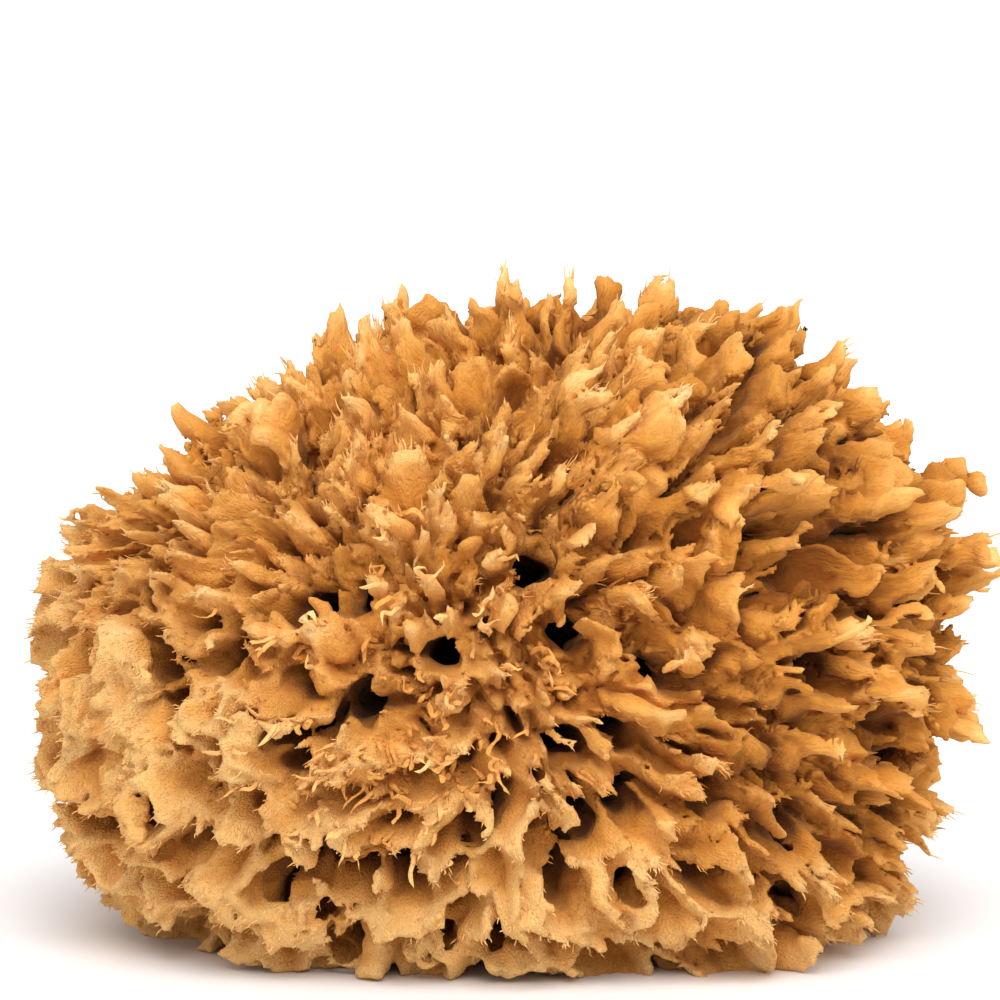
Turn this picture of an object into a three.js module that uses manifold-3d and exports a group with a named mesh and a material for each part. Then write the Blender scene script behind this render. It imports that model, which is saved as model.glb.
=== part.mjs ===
// A natural sea sponge: one solid that grew in one piece, cut flat where it was taken off the rock.
//
// Millimetres, +Z up, front towards -Y. The origin is under the middle of the body, on the flat cut that
// it rests on. The body is a rounded boulder that leans a little to the right. It grew outwards from a
// heart above the cut, so its water canals all run in towards that heart. Each canal opens as a funnel
// in the skin, and the walls between the funnels rise into uneven crests. Everything is built round the
// heart and lifted at the end.

import * as THREE from "three";
import { ImprovedNoise } from "three/addons/math/ImprovedNoise.js";
import { mergeVertices } from "three/addons/utils/BufferGeometryUtils.js";
import Module from "manifold-3d";

// Overall size, over the crests.
const WIDTH = 160;
const DEPTH = 130;
const HEIGHT = 118;

// The boulder's outline.
const HEART_HEIGHT = 52; // the heart, above the cut
const UNDERSIDE = 62; // how far below the heart the outline would reach if it weren't cut
const ROUNDNESS_ABOVE = 2; // above the heart; 2 is an ellipsoid, and more is boxier
const ROUNDNESS_BELOW = 2.7;
const LEAN_ABOVE = 0.15; // sideways shift of the outline for each millimetre above the heart
const LEAN_BELOW = 0.05; // the same below the heart, so the bottom shifts the other way
const LUMP_HEIGHT = 3;
const LUMP_SPACING = 38;
const BODY_DETAIL = 13; // each of the 20 faces of the first icosahedron is divided into 14 by 14

// Funnels, and the walls between them.
const FUNNEL_DEPTH = 7.5; // below the walls
const CREST_HEIGHT = 6; // how far the crests rise above the walls' middle height and dip below it
const CREST_SPACING = 15;
const WALL_DROP = 1.8; // of the walls' middle height below the outline, so that the crests reach it

// Water canals, widest at the mouth.
const CANALS = 104; // over the whole sphere of directions
const CANAL_DEPTH = 24; // below the walls
const CANAL_RADIUS = 4.4; // at the mouth
const CANAL_TAPER = 0.45; // the far end's radius as a share of the mouth's
const CANAL_SIDES = 6;
const CANAL_SHAKE = 0.1; // how far a canal is shaken off its even place, in unit directions
const HOLDFAST = 0.8; // no canal points down more steeply than this, because the rock was there

const material = new THREE.MeshStandardMaterial({
  name: "spongin",
  color: 0xd49a4f,
  roughness: 0.95,
  metalness: 0,
});

const wasm = await Module();
wasm.setup();
const noise = new ImprovedNoise();

// Smooth noise from about -1 to 1, with bumps about `spacing` apart.
function bumps(point, spacing, offset) {
  return noise.noise(point.x / spacing + offset, point.y / spacing + offset, point.z / spacing - offset);
}

// The smooth outline's distance from the heart in a direction.
function outlineRadius(direction) {
  const halfHeight = direction.z > 0 ? HEIGHT - HEART_HEIGHT : UNDERSIDE;
  const lean = direction.z > 0 ? LEAN_ABOVE : LEAN_BELOW;
  const above = THREE.MathUtils.smoothstep(direction.z, -0.4, 0.3);
  const roundness = THREE.MathUtils.lerp(ROUNDNESS_BELOW, ROUNDNESS_ABOVE, above);
  const shares = [
    (direction.x - lean * direction.z) / (WIDTH / 2),
    direction.y / (DEPTH / 2),
    direction.z / halfHeight,
  ];
  const sum = shares.reduce((total, share) => total + Math.abs(share) ** roundness, 0);
  return sum ** (-1 / roundness);
}

// Canals spread evenly along a spiral over the sphere of directions, each shaken a little off its place.
function spreadCanals() {
  const goldenAngle = Math.PI * (3 - Math.sqrt(5));
  return Array.from({ length: CANALS }, (_, i) => {
    const z = 1 - (2 * i + 1) / CANALS;
    const ring = Math.sqrt(1 - z * z);
    const direction = new THREE.Vector3(ring * Math.cos(goldenAngle * i), ring * Math.sin(goldenAngle * i), z);
    direction.x += CANAL_SHAKE * Math.sin(i * 12.9);
    direction.y += CANAL_SHAKE * Math.sin(i * 78.2);
    direction.z += CANAL_SHAKE * Math.sin(i * 37.7);
    return direction.normalize();
  });
}

const canals = spreadCanals().filter((direction) => direction.z > -HOLDFAST);

// 0 in the middle of a canal, rising to 1 in the middle of a wall between two of them.
function wallShare(direction) {
  const [nearest, second] = canals.map((canal) => direction.distanceTo(canal)).sort((a, b) => a - b);
  return nearest / second;
}

// The skin's distance from the heart: the outline with its lumps, crests and funnels.
function skinRadius(direction) {
  const outline = outlineRadius(direction);
  const place = direction.clone().multiplyScalar(outline);
  const wall = THREE.MathUtils.smoothstep(wallShare(direction), 0.2, 0.95);
  const crest = CREST_HEIGHT * bumps(place, CREST_SPACING, 7.3) - WALL_DROP;
  return outline + LUMP_HEIGHT * bumps(place, LUMP_SPACING, 3.1) + crest * wall - FUNNEL_DEPTH * (1 - wall);
}

// A closed three.js geometry as a solid that can be cut and joined.
function solidOf(geometry) {
  const bare = geometry.clone();
  bare.deleteAttribute("normal");
  bare.deleteAttribute("uv");
  const merged = mergeVertices(bare, 1e-4);
  const mesh = new wasm.Mesh({
    numProp: 3,
    vertProperties: new Float32Array(merged.getAttribute("position").array),
    triVerts: new Uint32Array(merged.index.array),
  });
  return new wasm.Manifold(mesh);
}

// A solid as a three.js geometry again.
function geometryOf(solid) {
  const mesh = solid.getMesh();
  const geometry = new THREE.BufferGeometry();
  geometry.setAttribute("position", new THREE.BufferAttribute(mesh.vertProperties, 3));
  geometry.setIndex(new THREE.BufferAttribute(mesh.triVerts, 1));
  geometry.computeVertexNormals();
  return geometry;
}

function boulder() {
  const geometry = new THREE.IcosahedronGeometry(1, BODY_DETAIL);
  const positions = geometry.getAttribute("position");
  const direction = new THREE.Vector3();
  for (let i = 0; i < positions.count; i++) {
    direction.fromBufferAttribute(positions, i).normalize();
    const point = direction.clone().multiplyScalar(skinRadius(direction));
    positions.setXYZ(i, point.x, point.y, point.z);
  }
  return solidOf(geometry);
}

// Everything below the flat cut.
function rock() {
  const height = UNDERSIDE;
  const block = new THREE.BoxGeometry(2 * WIDTH, 2 * DEPTH, height);
  block.translate(0, 0, -HEART_HEIGHT - height / 2);
  return solidOf(block);
}

// A canal runs from outside the skin in towards the heart. Each is a little wider, longer or flatter than
// the next.
function canalSolid(direction, index) {
  const radius = CANAL_RADIUS * (1 + 0.22 * Math.sin(index * 5.3));
  const depth = CANAL_DEPTH * (1 + 0.2 * Math.sin(index * 3.1));
  const geometry = new THREE.CylinderGeometry(radius, radius * CANAL_TAPER, depth, CANAL_SIDES);
  geometry.rotateY(index);
  geometry.scale(1, 1, 1 + 0.3 * Math.sin(index * 1.7));
  geometry.translate(0, outlineRadius(direction) - depth / 2, 0);
  geometry.applyQuaternion(new THREE.Quaternion().setFromUnitVectors(new THREE.Object3D().up, direction));
  return solidOf(geometry);
}

const body = boulder().subtract(wasm.Manifold.union(canals.map(canalSolid))).subtract(rock());

const sponge = new THREE.Mesh(geometryOf(body), material);
sponge.name = "sponge";

// The body is moved so that the origin is under the middle of it, on the cut.
const middle = new THREE.Box3().setFromObject(sponge).getCenter(new THREE.Vector3());
sponge.position.set(-middle.x, -middle.y, HEART_HEIGHT);

const part = new THREE.Group();
part.add(sponge);

export default part;
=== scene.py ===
import math

import bmesh
import bpy
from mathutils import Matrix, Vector


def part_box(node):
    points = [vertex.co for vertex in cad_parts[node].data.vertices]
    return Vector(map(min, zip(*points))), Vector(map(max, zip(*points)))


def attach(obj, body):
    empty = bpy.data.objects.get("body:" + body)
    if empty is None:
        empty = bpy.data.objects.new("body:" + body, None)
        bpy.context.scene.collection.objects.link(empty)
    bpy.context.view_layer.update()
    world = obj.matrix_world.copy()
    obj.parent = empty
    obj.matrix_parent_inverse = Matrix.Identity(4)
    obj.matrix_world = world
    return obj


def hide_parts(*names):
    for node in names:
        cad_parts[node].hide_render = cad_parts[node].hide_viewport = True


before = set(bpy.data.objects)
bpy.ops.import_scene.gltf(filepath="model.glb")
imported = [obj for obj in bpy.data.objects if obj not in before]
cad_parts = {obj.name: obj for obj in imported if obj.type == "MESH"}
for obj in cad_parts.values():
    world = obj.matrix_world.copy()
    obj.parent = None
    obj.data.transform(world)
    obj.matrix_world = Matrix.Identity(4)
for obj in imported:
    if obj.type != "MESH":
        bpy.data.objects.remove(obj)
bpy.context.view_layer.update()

lowCorner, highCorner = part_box("sponge")
millimetre = 0.001
print("frame loaded")


# node maths, so that a field can be written as a formula
class Field:
    def __init__(self, tree, socket):
        self.tree = tree
        self.socket = socket

    def __add__(self, other):
        return calc("ADD", self, other)

    def __sub__(self, other):
        return calc("SUBTRACT", self, other)

    def __rsub__(self, other):
        return calc("SUBTRACT", other, self)

    def __mul__(self, other):
        return calc("MULTIPLY", self, other)

    def __rmul__(self, other):
        return calc("MULTIPLY", other, self)

    def __truediv__(self, other):
        return calc("DIVIDE", self, other)

    def __rtruediv__(self, other):
        return calc("DIVIDE", other, self)

    def __pow__(self, other):
        return calc("POWER", self, other)


def isVector(value):
    if isinstance(value, Field):
        return value.socket.type in ("VECTOR", "RGBA")
    return isinstance(value, (tuple, Vector))


def plug(tree, value, socket):
    if isinstance(value, Field):
        tree.links.new(value.socket, socket)
    else:
        socket.default_value = value


def addNode(tree, kind, settings=None, inputs=None):
    node = tree.nodes.new(kind)
    for name, value in (settings or {}).items():
        setattr(node, name, value)
    for name, value in (inputs or {}).items():
        plug(tree, value, node.inputs[name])
    return node


def calc(operation, *values):
    tree = next(value.tree for value in values if isinstance(value, Field))
    if not any(isVector(value) for value in values):
        node = addNode(tree, "ShaderNodeMath", {"operation": operation}, dict(enumerate(values)))
        return Field(tree, node.outputs[0])
    numbers = [value for value in values if not isVector(value)]
    if operation == "MULTIPLY" and len(numbers) == 1:
        vector = next(value for value in values if isVector(value))
        node = addNode(tree, "ShaderNodeVectorMath", {"operation": "SCALE"}, {
            0: vector, "Scale": numbers[0]})
        return Field(tree, node.outputs["Vector"])
    node = addNode(tree, "ShaderNodeVectorMath", {"operation": operation}, dict(enumerate(values)))
    return Field(tree, node.outputs["Value" if operation in ("LENGTH", "DOT_PRODUCT") else "Vector"])


def split(vector):
    node = addNode(vector.tree, "ShaderNodeSeparateXYZ", None, {0: vector})
    return [Field(vector.tree, socket) for socket in node.outputs]


def noise(place, size, detail=0.0, shift=0.0):  # from about -1 to 1
    node = addNode(place.tree, "ShaderNodeTexNoise", None, {
        "Vector": place + (shift, 0.7 * shift, -shift), "Scale": 1 / size, "Detail": detail})
    return (Field(place.tree, node.outputs["Fac"]) - 0.5) * 2.0


def noiseVector(place, size, detail=0.0, shift=0.0):  # each part from about -1 to 1
    node = addNode(place.tree, "ShaderNodeTexNoise", None, {
        "Vector": place + (shift, 0.7 * shift, -shift), "Scale": 1 / size, "Detail": detail})
    return (Field(place.tree, node.outputs["Color"]) - (0.5, 0.5, 0.5)) * 2.0


def cellEdge(place, size):  # the distance to the nearest wall between two cells
    node = addNode(place.tree, "ShaderNodeTexVoronoi", {"feature": "DISTANCE_TO_EDGE"}, {
        "Vector": place, "Scale": 1 / size, "Randomness": 0.9})
    return Field(place.tree, node.outputs["Distance"]) * size


# the distance to the nearest cell's middle, and three random numbers of the cell
def cellMiddle(place, size):
    node = addNode(place.tree, "ShaderNodeTexVoronoi", None, {
        "Vector": place, "Scale": 1 / size, "Randomness": 0.9})
    return Field(place.tree, node.outputs["Distance"]) * size, Field(place.tree, node.outputs["Color"])


def smoothStep(value, low, high, lowOut=0.0, highOut=1.0):
    node = addNode(value.tree, "ShaderNodeMapRange", {"interpolation_type": "SMOOTHSTEP"}, {
        "Value": value, "From Min": low, "From Max": high, "To Min": lowOut, "To Max": highOut})
    return Field(value.tree, node.outputs["Result"])


def smoothMin(a, b, blend):
    return calc("SMOOTH_MIN", a, b, blend)


def smoothMax(a, b, blend):
    return calc("SMOOTH_MAX", a, b, blend)


# how the sponge grew, in millimetres round its heart
growth = {
    "heartHeight": 52.0,  # above the cut
    "tipReach": 1.5,  # how far the outline stands out past the solid on each side
    "underside": 62.0,  # how far down the outline would reach if it weren't cut
    "roundnessAbove": 2.0,  # above the heart; 2 is an ellipsoid, more is boxier
    "roundnessBelow": 2.7,
    "leanAbove": 0.16,  # sideways per millimetre above the heart
    "leanBelow": 0.05,
    "lumps": 3.0,
    "lumpSpacing": 34.0,
    "rightRise": 5.0,  # how much further out it grew at the far right
    "bulges": [  # middle, radius and rise
        ((66.0, 0.0, 44.0), 22.0, -8.0),
        ((-78.0, 0.0, 22.0), 16.0, 4.0),
    ],
    "combSource": (-5.0, 10.0, -2.0),  # the honeycomb below grew away from here
    "flapSource": (-14.0, -14.0, -8.0),  # and the flaps on top and to the right from here
    "usualReach": 70.0,
    "canalSpacing": 8.8,  # at the usual distance from the source
    "finerFlaps": 0.18,  # how much closer the canals are between the flaps
    "canalDepth": 34.0,
    "wideCanal": 3.2,  # radius of the widest canals under the skin
    "wideCanalBend": 4.0,
    "flapSpacing": 5.6,
    "flapLength": 13.0,  # how much shorter the shortest flap is
    "flapWall": (0.35, 1.1, 1.5),  # half thickness at the tip and 5 mm down, and what's added by 20 mm
    "ridgeWall": (0.6, 1.6, 1.6),  # the same for the honeycomb's ridges, 4 and 18 mm down
    "brokenRidges": 15.0,  # how deep the ridges are broken off in places
    "floors": (8.0, 26.0),  # how far below the ridges the honeycomb's cells are filled
    "holes": (1.4, 3.4),  # radius of the hole through each filling
}

# the darkest mouths at the front: how far right of the middle and above the cut
frontMouths = [
    (10, 37), (11, 25), (-6, 27), (20, 28), (20, 40), (18, 17), (-44, 36), (-38, 41), (-36, 26), (-38, 62),
    (-48, 55), (-28, 66), (-26, 46), (-12, 55), (11, 58), (33, 30), (44, 25), (-30, 21), (-35, 14),
    (-26, 7), (-57, 29), (55, 50), (-12, 8), (-60, 51), (-19, 20), (-41, 7), (-50, 7), (31, 19), (-2, 5),
    (4, 72), (28, 51), (59, 17), (42, 13), (-49, 25), (-72, 38),
]


def halfSizes():  # of the outline: its half width, half depth and height above the heart
    return (
        (highCorner.x - lowCorner.x) / 2 / millimetre + growth["tipReach"],
        (highCorner.y - lowCorner.y) / 2 / millimetre + growth["tipReach"],
        highCorner.z / millimetre + growth["tipReach"] - growth["heartHeight"],
    )


def canalAxes():  # one edge for each of the widest canals, from outside the skin in towards the source
    halfWidth, halfDepth, top = halfSizes()
    power = growth["roundnessAbove"]
    source = Vector(growth["combSource"])
    bm = bmesh.new()
    for right, up in frontMouths:
        fromHeart = up - growth["heartHeight"]
        halfHeight = top if fromHeart > 0 else growth["underside"]
        remaining = 1 - abs(right / halfWidth) ** power - abs(fromHeart / halfHeight) ** power
        mouth = Vector((right, -halfDepth * max(remaining, 0.02) ** (1 / power), fromHeart))
        ends = [source.lerp(mouth, share) + Vector((0, 0, growth["heartHeight"])) for share in (0.3, 1.2)]
        bm.edges.new([bm.verts.new(end * millimetre) for end in ends])
    mesh = bpy.data.meshes.new("canalAxes")
    bm.to_mesh(mesh)
    bm.free()
    return bpy.data.objects.new("canalAxes", mesh)


def depthInOutline(place):  # how deep a place lies under the outline, towards the heart
    x, y, z = split(place)
    reach = calc("LENGTH", place)
    halfWidth, halfDepth, top = halfSizes()
    halfHeight = smoothStep(z, -1.0, 1.0, growth["underside"], top)
    lean = smoothStep(z, -4.0, 4.0, growth["leanBelow"], growth["leanAbove"])
    power = smoothStep(z / reach, -0.4, 0.3, growth["roundnessBelow"], growth["roundnessAbove"])
    shares = [(x - z * lean) / halfWidth, y / halfDepth, z / halfHeight]
    first, second, third = [calc("ABSOLUTE", share) ** power for share in shares]
    share = (first + second + third) ** (1.0 / power)
    depth = reach / share - reach + noise(place, growth["lumpSpacing"], shift=3.0) * growth["lumps"]
    depth = depth + smoothStep(x, 0.0, 75.0, -1.0, growth["rightRise"])
    for middle, radius, rise in growth["bulges"]:
        fromMiddle = calc("LENGTH", (place - middle) * (1.0, 0.25, 1.0))
        depth = depth + smoothStep(fromMiddle, 0.0, radius, rise, 0.0)
    return depth


def growSponge(tree, axes):  # the body's field, over 0 inside, and what the finish needs to know
    position = Field(tree, addNode(tree, "GeometryNodeInputPosition").outputs[0])
    place = position * (1 / millimetre) - (0.0, 0.0, growth["heartHeight"])
    x, y, z = split(place)
    depth = depthInOutline(place)

    # the honeycomb is at the bottom left, the flaps are on top and to the right
    flap = smoothStep(z + x * 0.45 + noise(place, 26.0, shift=81.0) * 9.0, -34.0, 10.0)
    comb = 1.0 - flap

    # directions of growth, bent a little
    combSource = Vector(growth["combSource"])
    flapSource = Vector(growth["flapSource"])
    away = place - combSource - flap * (flapSource - combSource)
    reach = calc("LENGTH", away)
    wander = noiseVector(place, 32.0, 1.0) * 9.0 + noiseVector(place, 9.0, 1.0, 40.0) * 3.5
    direction = calc("NORMALIZE", away + wander)

    # canals are cells drawn out along the growth
    usual = growth["usualReach"]
    canalReach = (reach * 0.3 + usual * 0.7) * (flap * growth["finerFlaps"] + 1.0)
    canalPlace = direction * canalReach
    widening = reach / canalReach
    wallDistance = cellEdge(canalPlace, growth["canalSpacing"]) * widening
    middleDistance, canalRandom = cellMiddle(canalPlace, growth["canalSpacing"])
    middleDistance = middleDistance * widening

    # the walls' outer parts tear into flaps of random length
    flapReach = reach * 0.22 + usual * 0.78
    flapPlace = direction * flapReach + noiseVector(place, 4.5, 0.0, 60.0) * 1.3
    flapDistance, flapRandom = cellMiddle(flapPlace, growth["flapSpacing"])
    flapDistance = flapDistance * (reach / flapReach)
    ragged = noise(direction * usual, 11.0, 2.0, 11.0)
    fray = noise(direction * (reach * 0.2 + usual * 0.8), 1.6, 2.0, 21.0)
    flapCut = growth["flapLength"] * (split(flapRandom)[0] * 0.85 + ragged * 0.45 + 0.07) + fray * 6.0
    flapCut = smoothMax(flapCut, -1.5, 2.0)

    # in the honeycomb they stay whole, as thick ridges broken off here and there
    combCut = noise(direction * usual, 9.0, 2.0, 17.0) * growth["brokenRidges"]
    combCut = combCut + noise(place, 4.0, 1.0, 9.0) * 4.0 + fray * 5.0
    combCut = smoothMax(combCut + 3.5 - smoothStep(middleDistance, 3.5, 6.5) * 3.5, -2.0, 2.0)
    belowTip = depth - flapCut * flap - combCut * comb

    # flaps get thicker with depth, until they close up round the canals
    tip, middle, swelling = growth["flapWall"]
    wall = smoothStep(belowTip, -0.5, 5.0, tip, middle)
    wall = wall + smoothStep(belowTip, 4.0, 20.0, 0.0, swelling) - wallDistance
    corner = (middleDistance - smoothStep(belowTip, 0.0, 14.0, 8.0, 3.6)) * 0.9
    tongue = smoothStep(belowTip, -0.5, 3.0, 0.4, 1.9)
    tongue = tongue + smoothStep(belowTip, 2.0, 12.0, 0.0, 2.2) - flapDistance
    flaps = smoothMin(smoothMax(wall, corner, 1.0), tongue * 0.8, 0.6)

    # the honeycomb's cells are filled up to different heights, some with a hole through the filling
    tip, middle, swelling = growth["ridgeWall"]
    ridge = smoothStep(belowTip, -0.5, 4.0, tip, middle)
    ridge = ridge + smoothStep(belowTip, 4.0, 18.0, 0.0, swelling) - wallDistance
    shallow, deep = growth["floors"]
    filling = (belowTip - smoothStep(split(canalRandom)[0], 0.1, 0.8, shallow, deep)) * 0.6
    narrow, wide = growth["holes"]
    hole = smoothStep(split(canalRandom)[1], 0.1, 0.8, narrow, wide)
    hole = hole + noise(place, 5.0, 1.0, 52.0) * 0.8
    ridges = smoothMax(ridge, smoothMin(filling, middleDistance - hole, 1.5), 2.5)
    body = smoothMin(flaps * flap + ridges * comb, belowTip * 0.5, 0.6)

    # the widest canals open a little below the skin, so flaps and ridges hang over them
    lines = Field(tree, addNode(tree, "GeometryNodeObjectInfo", None, {"Object": axes}).outputs["Geometry"])
    bent = position + noiseVector(place, 8.0, 1.0, 71.0) * (growth["wideCanalBend"] * millimetre)
    near = addNode(tree, "GeometryNodeProximity", {"target_element": "EDGES"}, {
        "Target": lines, "Source Position": bent})
    canal = Field(tree, near.outputs["Distance"]) * (1 / millimetre)
    canal = canal - smoothStep(depth, -1.0, 5.0, 0.0, growth["wideCanal"])
    body = smoothMin(body, canal, 1.0)
    body = smoothMax(body, (depth - growth["canalDepth"]) * 0.6, 2.0)
    body = body + noise(place, 2.2, 2.0, 5.0) * (comb * 0.35 + 0.35)

    # the cut underneath, a little hollow in places
    hollow = smoothStep(noise(place, 24.0, 1.0, 90.0), 0.1, 0.6, 0.0, 4.0)
    body = calc("MINIMUM", body, z + growth["heartHeight"] - hollow)

    # painted shade: how far below the tips and the outline, which darkens the colour down the canals;
    # stored as the depth attribute
    shade = calc("MAXIMUM", belowTip, 0.0) * (0.8 - comb * 0.3)
    shade = shade + calc("MAXIMUM", depth - 2.0, 0.0) * (comb * 0.4 + 0.2)
    tone = noise(place, 8.0, 2.0, 13.0)
    return {
        "body": body, "growth": direction, "depth": shade, "tone": tone, "comb": comb, "belowTip": belowTip}


# the body, grown in sectors because one mesh of it would be too heavy
bodyLook = {
    "voxel": 0.6 * millimetre,
    "margin": 6 * millimetre,  # of the grown space round the solid
    "trianglesPerSector": 165000,
    "smallestIsland": 4000,  # faces
}


def wholeIslands(tree, mesh):  # without the crumbs that hang on nothing
    island = Field(tree, addNode(tree, "GeometryNodeInputMeshIsland").outputs["Island Index"])
    count = addNode(tree, "GeometryNodeAccumulateField", {"domain": "FACE"}, {
        "Value": 1.0, "Group ID": island})
    crumb = addNode(tree, "FunctionNodeCompare", {"operation": "LESS_THAN"}, {
        0: Field(tree, count.outputs["Total"]), 1: float(bodyLook["smallestIsland"])})
    kept = addNode(tree, "GeometryNodeDeleteGeometry", {"domain": "FACE"}, {
        "Geometry": mesh, "Selection": Field(tree, crumb.outputs[0])})
    return Field(tree, kept.outputs[0])


def geometryTree(name):  # a node tree that takes a mesh and gives another
    tree = bpy.data.node_groups.new(name, "GeometryNodeTree")
    for way in ("INPUT", "OUTPUT"):
        tree.interface.new_socket("Geometry", in_out=way, socket_type="NodeSocketGeometry")
    return tree


def bodyTree(axes):
    tree = geometryTree("growSponge")
    fields = growSponge(tree, axes)
    cube = addNode(tree, "GeometryNodeVolumeCube", None, {"Density": fields["body"] + 0.5})
    skin = addNode(tree, "GeometryNodeVolumeToMesh", None, {
        "Volume": Field(tree, cube.outputs[0]), "Threshold": 0.5})
    whole = wholeIslands(tree, Field(tree, skin.outputs[0]))
    last = addNode(tree, "GeometryNodeSetShadeSmooth", None, {"Geometry": whole})
    for name in ("depth", "tone", "comb", "belowTip", "growth"):
        kind = "FLOAT_VECTOR" if name == "growth" else "FLOAT"
        last = addNode(tree, "GeometryNodeStoreNamedAttribute", {"data_type": kind}, {
            "Geometry": Field(tree, last.outputs[0]), "Name": name, "Value": fields[name]})
    tree.links.new(last.outputs[0], addNode(tree, "NodeGroupOutput").inputs[0])
    return tree, cube


def appliedMesh(piece):  # the piece's mesh with its modifiers applied
    shown = piece.evaluated_get(bpy.context.evaluated_depsgraph_get())
    mesh = bpy.data.meshes.new_from_object(shown)
    piece.modifiers.clear()
    piece.data = mesh
    return mesh


def triangleCount(mesh):
    return sum(len(face.vertices) - 2 for face in mesh.polygons)


def newPiece(name, mesh=None):
    piece = bpy.data.objects.new(name, mesh or bpy.data.meshes.new(name))
    bpy.context.scene.collection.objects.link(piece)
    return piece


def growSector(name, tree, cube, low, high):
    voxel = bodyLook["voxel"] * 1
    cube.inputs["Min"].default_value = low
    cube.inputs["Max"].default_value = high
    for axis, letter in enumerate("XYZ"):
        cube.inputs["Resolution " + letter].default_value = round((high[axis] - low[axis]) / voxel) + 1
    sector = newPiece(name)
    sector.modifiers.new("grow", "NODES").node_group = tree
    mesh = appliedMesh(sector)
    grown = triangleCount(mesh)
    thin = sector.modifiers.new("thin", "DECIMATE")
    thin.ratio = min(1.0, bodyLook["trianglesPerSector"] / grown)
    mesh = appliedMesh(sector)
    mesh.name = name
    mesh.materials.clear()
    print(name, "grown with", grown, "triangles, kept", triangleCount(mesh))
    return sector


def growBody():
    axes = canalAxes()
    bpy.context.scene.collection.objects.link(axes)
    tree, cube = bodyTree(axes)
    voxel = bodyLook["voxel"]
    margin = Vector((1, 1, 1)) * bodyLook["margin"]
    low = Vector([math.floor(value / voxel) * voxel for value in lowCorner - margin])
    high = Vector([math.ceil(value / voxel) * voxel for value in highCorner + margin])
    low.z = -2 * voxel
    third = math.ceil(highCorner.x / 3 / voxel) * voxel
    columns = [("Left", low.x, -third), ("Middle", -third, third), ("Right", third, high.x)]
    rows = [("Front", low.y, 0.0), ("Back", 0.0, high.y)]
    sectors = []
    for row, near, far in rows:
        for column, left, right in columns:
            start = Vector((left - voxel, near - voxel, low.z))  # one voxel over the next sector
            end = Vector((right + voxel, far + voxel, high.z))
            sectors.append(growSector("sponge" + row + column, tree, cube, start, end))
    bpy.data.objects.remove(axes)
    return sectors


# the finish: felted fibre, pale at the tips with a painted highlight and dark brown in the canals with
# painted shade
finish = {
    "colourWithPaintedLightByDepth": [  # depth in millimetres and colour; the pale tips are a painted highlight, the darkening down the canals is painted shade
        (0.0, (0.98, 0.72, 0.38)),
        (1.2, (0.92, 0.55, 0.205)),
        (3.5, (0.80, 0.375, 0.09)),
        (7.0, (0.60, 0.235, 0.036)),
        (12.0, (0.22, 0.062, 0.007)),
        (20.0, (0.02, 0.006, 0.001)),
    ],
    "combShade": 1.6,  # how much deeper the honeycomb's colours are, in millimetres
    "patches": 1.6,  # how much deeper or paler in patches
    "streaks": 0.9,  # the same along the growth
    "poreShade": 2.5,  # painted shade: how much deeper along the ramp the pores are drawn
    "poreSpacing": 1.3,
    "fibreSize": 0.5,
    "bumpHeight": 0.4 * millimetre,
    "roughness": 0.92,
    "specular": 0.12,
    "sheen": 0.15,
    "sheenRoughness": 0.5,
    "sheenTint": (1.0, 0.75, 0.42, 1),
}


def spongeMaterial():
    material = bpy.data.materials.new("feltedFibre")
    material.use_nodes = True
    tree = material.node_tree
    shader = tree.nodes["Principled BSDF"]
    shader.inputs["Roughness"].default_value = finish["roughness"]
    shader.inputs["Specular IOR Level"].default_value = finish["specular"]
    shader.inputs["Sheen Weight"].default_value = finish["sheen"]
    shader.inputs["Sheen Roughness"].default_value = finish["sheenRoughness"]
    shader.inputs["Sheen Tint"].default_value = finish["sheenTint"]

    coordinates = addNode(tree, "ShaderNodeTexCoord")
    place = Field(tree, coordinates.outputs["Object"]) * (1 / millimetre)
    # depth holds the painted shade grown with the body
    depth, tone, comb = [
        Field(tree, addNode(tree, "ShaderNodeAttribute", {"attribute_name": name}).outputs["Fac"])
        for name in ("depth", "tone", "comb")]
    growing = addNode(tree, "ShaderNodeAttribute", {"attribute_name": "growth"})
    along = Field(tree, growing.outputs["Vector"])
    fibre = noise(along * growth["usualReach"] + place * (comb * 0.6 + 0.35), finish["fibreSize"], 2.0)
    # the pores, which are darkened with painted shade
    poreMiddle = cellMiddle(place + noiseVector(place, 0.9) * 0.35, finish["poreSpacing"])[0]
    pore = smoothStep(poreMiddle, 0.08, 0.34)
    poreShare = smoothStep(noise(place, 6.0, 1.0, 33.0) + comb * 0.25, 0.15, 0.6)
    pitted = (1.0 - pore) * poreShare

    # painted shade down the canals and in the pores; the patches and streaks are the fibre's own tone
    shade = depth + comb * finish["combShade"] + tone * finish["patches"]
    shade = shade + fibre * finish["streaks"] + pitted * finish["poreShade"]
    # the ramp paints the highlight at the tips and the shade down the canals
    deepest = finish["colourWithPaintedLightByDepth"][-1][0]
    colours = addNode(tree, "ShaderNodeValToRGB", None, {"Fac": shade / deepest})
    stops = colours.color_ramp.elements
    stops.remove(stops[1])
    for stopDepth, colour in finish["colourWithPaintedLightByDepth"]:
        stop = stops.new(stopDepth / deepest) if stopDepth else stops[0]
        stop.color = (*colour, 1)
    plug(tree, Field(tree, colours.outputs[0]), shader.inputs["Base Color"])
    bump = addNode(tree, "ShaderNodeBump", None, {
        "Distance": finish["bumpHeight"], "Height": fibre * (comb * 0.3 + 0.6)})
    plug(tree, Field(tree, bump.outputs[0]), shader.inputs["Normal"])
    return material


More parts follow.
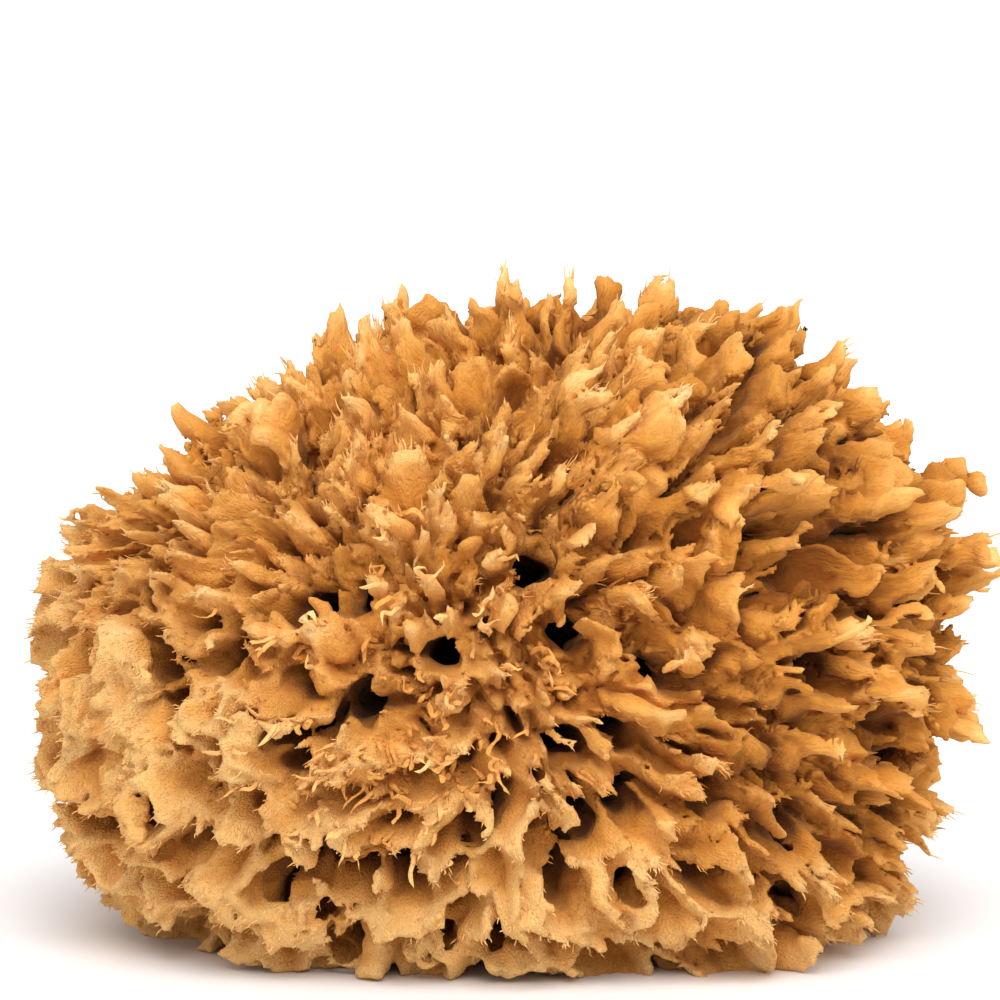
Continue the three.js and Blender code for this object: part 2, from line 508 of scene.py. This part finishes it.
# the fibres: split tips of the flaps and ridges, curly strands round the front's middle, and short down
fibres = {
    "frayedTips": {
        "seed": 3,
        "perSquareMetre": 2.2e6,
        "onComb": 0.2,  # the share that grows on the honeycomb too
        "belowTip": 1.5,  # they grow this far below the flaps' tips, in millimetres
        "length": (1.0, 3.4),
        "radius": 0.14,
        "taper": 0.8,
        "bend": 1.6,  # how far a fibre's tip is bent aside
        "bendSpacing": 1.5,
        "sides": 3,
        "segments": 3,
    },
    "curlyStrands": {
        "seed": 11,
        "perSquareMetre": 3.2e5,
        "onComb": 1.0,
        "middle": (-14.0, -52.0, 2.0),  # from the heart; they grow round here
        "reach": (16.0, 40.0),  # all of them and none, from the middle
        "belowTip": 1.8,
        "length": (3.5, 8.0),
        "radius": 0.42,
        "taper": 0.8,
        "bend": 6.4,
        "bendSpacing": 4.0,
        "sides": 6,
        "segments": 9,
    },
    "down": {
        "seed": 29,
        "perSquareMetre": 5.5e5,
        "onComb": 1.0,
        "belowTip": 9.0,
        "length": (0.4, 1.0),
        "radius": 0.04,
        "taper": 0.8,
        "bend": 0.6,
        "bendSpacing": 1.5,
        "sides": 3,
        "segments": 1,
    },
}


def fibreMesh(name, look):  # one closed fibre along z, a millimetre long
    bm = bmesh.new()
    bmesh.ops.create_circle(bm, cap_ends=True, segments=look["sides"], radius=look["radius"])
    rim = list(bm.edges)
    width = 1.0
    for step in range(1, look["segments"] + 1):
        share = step / look["segments"]
        nextWidth = 1 - share ** 2 * look["taper"]
        grown = bmesh.ops.extrude_edge_only(bm, edges=rim)["geom"]
        rim = [part for part in grown if isinstance(part, bmesh.types.BMEdge) and part.is_boundary]
        corners = [part for part in grown if isinstance(part, bmesh.types.BMVert)]
        bmesh.ops.translate(bm, vec=(0, 0, 1 / look["segments"]), verts=corners)
        bmesh.ops.scale(bm, vec=(nextWidth / width, nextWidth / width, 1), verts=corners)
        width = nextWidth
    bmesh.ops.pointmerge(bm, verts=corners, merge_co=(0, 0, 1))
    bmesh.ops.recalc_face_normals(bm, faces=bm.faces)
    bmesh.ops.scale(bm, vec=(millimetre, millimetre, millimetre), verts=bm.verts)
    mesh = bpy.data.meshes.new(name)
    bm.to_mesh(mesh)
    bm.free()
    return bpy.data.objects.new(name, mesh)


def attribute(tree, name, kind="FLOAT"):
    node = addNode(tree, "GeometryNodeInputNamedAttribute", {"data_type": kind}, {"Name": name})
    return Field(tree, node.outputs["Attribute"])


def fibreTree(name, look, sectors, fibre):
    tree = geometryTree(name)
    skins = addNode(tree, "GeometryNodeJoinGeometry")
    for sector in sectors:
        skin = addNode(tree, "GeometryNodeObjectInfo", None, {"Object": sector})
        tree.links.new(skin.outputs["Geometry"], skins.inputs[0])
    position = Field(tree, addNode(tree, "GeometryNodeInputPosition").outputs[0])
    place = position * (1 / millimetre) - (0.0, 0.0, growth["heartHeight"])
    normal = Field(tree, addNode(tree, "GeometryNodeInputNormal").outputs[0])
    nearTip = smoothStep(attribute(tree, "belowTip"), 0.0, look["belowTip"], 1.0, 0.0)
    growing = attribute(tree, "growth", "FLOAT_VECTOR")
    outward = smoothStep(calc("DOT_PRODUCT", normal, growing), -0.2, 0.4)
    comb = attribute(tree, "comb")
    share = nearTip * outward * smoothStep(split(place)[2] + growth["heartHeight"], 3.0, 7.0)
    share = share * (1.0 - comb * (1.0 - look["onComb"]))
    if "middle" in look:
        fromMiddle = calc("LENGTH", place - look["middle"])
        share = share * smoothStep(fromMiddle, *look["reach"], 1.0, 0.0)
    spread = addNode(tree, "GeometryNodeDistributePointsOnFaces", None, {
        "Mesh": Field(tree, skins.outputs[0]), "Density": share * look["perSquareMetre"],
        "Seed": look["seed"]})

    # each points along the growth and off the skin, shaken a little
    away = attribute(tree, "growth", "FLOAT_VECTOR") + Field(tree, spread.outputs["Normal"]) * 0.25
    shake = addNode(tree, "FunctionNodeRandomValue", {"data_type": "FLOAT_VECTOR"}, {
        0: (-0.3, -0.3, -0.3), 1: (0.3, 0.3, 0.3), "Seed": look["seed"] + 1})
    turn = addNode(tree, "FunctionNodeAlignEulerToVector", {"axis": "Z"}, {
        "Vector": away + Field(tree, shake.outputs[0])})
    shortest, longest = look["length"]
    length = addNode(tree, "FunctionNodeRandomValue", {"data_type": "FLOAT"}, {
        2: shortest, 3: longest, "Seed": look["seed"] + 2})
    tall = Field(tree, length.outputs[1]) * (1.0 - comb * 0.5)
    size = addNode(tree, "ShaderNodeCombineXYZ", None, {0: 1.0, 1: 1.0, 2: tall})
    shape = addNode(tree, "GeometryNodeObjectInfo", None, {"Object": fibre})
    alongShape = addNode(tree, "GeometryNodeStoreNamedAttribute", None, {
        "Geometry": Field(tree, shape.outputs["Geometry"]), "Name": "along",
        "Value": split(position)[2] / millimetre})
    planted = addNode(tree, "GeometryNodeInstanceOnPoints", None, {
        "Points": Field(tree, spread.outputs["Points"]), "Instance": Field(tree, alongShape.outputs[0]),
        "Rotation": Field(tree, turn.outputs[0]), "Scale": Field(tree, size.outputs[0])})
    real = addNode(tree, "GeometryNodeRealizeInstances", None, {
        "Geometry": Field(tree, planted.outputs[0])})
    along = attribute(tree, "along")
    aside = along * along * (look["bend"] * millimetre)
    bend = noiseVector(place, look["bendSpacing"], 1.0, 7.0) * aside
    bent = addNode(tree, "GeometryNodeSetPosition", None, {
        "Geometry": Field(tree, real.outputs[0]), "Offset": bend})
    tree.links.new(bent.outputs[0], addNode(tree, "NodeGroupOutput").inputs[0])
    return tree


def growFibres(name, sectors):
    look = fibres[name]
    fibre = fibreMesh(name + "Fibre", look)
    bpy.context.scene.collection.objects.link(fibre)
    piece = newPiece(name)
    piece.modifiers.new("grow", "NODES").node_group = fibreTree(name, look, sectors, fibre)
    mesh = appliedMesh(piece)
    mesh.name = name
    mesh.materials.clear()
    bpy.data.objects.remove(fibre)
    print(name, "kept with", triangleCount(mesh), "triangles")
    return piece


# a plain pale floor, a white sky and one soft sun
studio = {
    "floorSize": 30.0,
    "floorColour": (0.93, 0.93, 0.93, 1),
    "skyStrength": 0.8,
    "sunStrength": 2.5,
    "sunSoftness": math.radians(50),  # its width in the sky
    "sunTurn": (math.radians(38), 0, math.radians(8)),
    "elevation": math.radians(7),
    "distance": 0.95,
    "viewWidth": 0.1685,  # at the sponge's middle
    "lookAt": Vector((-0.0025, 0, 0.0725)),
}


def buildStudio():
    bm = bmesh.new()
    bmesh.ops.create_grid(bm, x_segments=1, y_segments=1, size=studio["floorSize"] / 2)
    mesh = bpy.data.meshes.new("floor")
    bm.to_mesh(mesh)
    bm.free()
    floor = newPiece("floor", mesh)
    paint = bpy.data.materials.new("floorPaint")
    paint.use_nodes = True
    paint.node_tree.nodes["Principled BSDF"].inputs["Base Color"].default_value = studio["floorColour"]
    paint.node_tree.nodes["Principled BSDF"].inputs["Roughness"].default_value = 0.9
    mesh.materials.append(paint)

    world = bpy.data.worlds.new("studio")
    world.use_nodes = True
    world.node_tree.nodes["Background"].inputs["Color"].default_value = (1, 1, 1, 1)
    world.node_tree.nodes["Background"].inputs["Strength"].default_value = studio["skyStrength"]
    bpy.context.scene.world = world

    sun = bpy.data.lights.new("softSun", "SUN")
    sun.energy = studio["sunStrength"]
    sun.angle = studio["sunSoftness"]
    lamp = bpy.data.objects.new("softSun", sun)
    lamp.rotation_euler = studio["sunTurn"]
    bpy.context.scene.collection.objects.link(lamp)

    lens = bpy.data.cameras.new("camera")
    lens.lens = lens.sensor_width * studio["distance"] / studio["viewWidth"]
    camera = bpy.data.objects.new("camera", lens)
    tilt = studio["elevation"]
    camera.location = studio["lookAt"] + studio["distance"] * Vector((0, -math.cos(tilt), math.sin(tilt)))
    camera.rotation_euler = (math.pi / 2 - tilt, 0, 0)
    bpy.context.scene.collection.objects.link(camera)
    bpy.context.scene.camera = camera
    bpy.context.scene.view_settings.view_transform = "Standard"


buildStudio()
print("studio built")
feltedFibre = spongeMaterial()
sectors = growBody()
print("body grown")
for piece in sectors + [growFibres(name, sectors) for name in fibres]:
    piece.data.materials.append(feltedFibre)
    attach(piece, "root")
    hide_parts("sponge")
print("fibres grown")
